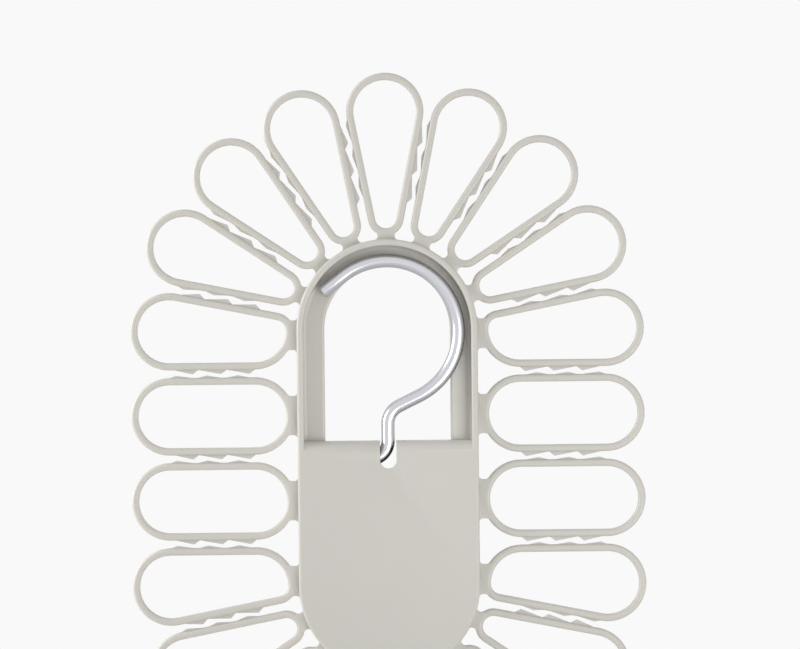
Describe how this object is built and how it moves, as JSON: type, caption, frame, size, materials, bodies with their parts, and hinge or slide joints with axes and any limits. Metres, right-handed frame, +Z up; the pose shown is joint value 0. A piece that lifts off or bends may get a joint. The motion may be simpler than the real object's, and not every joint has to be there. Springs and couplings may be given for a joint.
{
  "type": "accessory hanger",
  "caption": "Flat accessory hanger: a stadium-shaped body ringed by long sprung loops with barbed edges, and a wire hook hinged in a slot that folds flat into the body's arch.",
  "frame": {"origin": "the hook's rail seat: the lowest line of the inside of its crown, on the middle plane of the hook's wire", "axes": "+Z up along the folded hook and the body, -Y out of the front panel, +X to the right seen from the front"},
  "size_m": [0.2536, 0.016, 0.3795],
  "materials": {
    "body_plastic": "fine satin moulded surface, warm light grey",
    "hook_wire": "satin drawn wire",
    "screw_steel": "zinc plated"
  },
  "bodies": {
    "hook": {"hook": "hook_wire"},
    "frame": {"front_shell": "body_plastic", "back_cover": "body_plastic", "hinge_keeper": "body_plastic", "loop_top": "body_plastic", "loop_right_01": "body_plastic", "loop_right_02": "body_plastic", "loop_right_03": "body_plastic", "loop_right_04": "body_plastic", "loop_right_05": "body_plastic", "loop_right_06": "body_plastic", "loop_right_07": "body_plastic", "loop_right_08": "body_plastic", "loop_right_09": "body_plastic", "loop_right_10": "body_plastic", "loop_bottom": "body_plastic", "loop_left_10": "body_plastic", "loop_left_09": "body_plastic", "loop_left_08": "body_plastic", "loop_left_07": "body_plastic", "loop_left_06": "body_plastic", "loop_left_05": "body_plastic", "loop_left_04": "body_plastic", "loop_left_03": "body_plastic", "loop_left_02": "body_plastic", "loop_left_01": "body_plastic", "keeper_screw_1": "screw_steel", "keeper_screw_2": "screw_steel", "cover_screw_1": "screw_steel", "cover_screw_2": "screw_steel", "cover_screw_3": "screw_steel", "cover_screw_4": "screw_steel"}
  },
  "joints": [
    {"name": "hook_hinge", "type": "hinge", "parent": "hook", "child": "frame", "pos_m": [0, 0, -0.09455], "axis": [-1, 0, 0], "range_deg": [0, 90]}
  ]
}
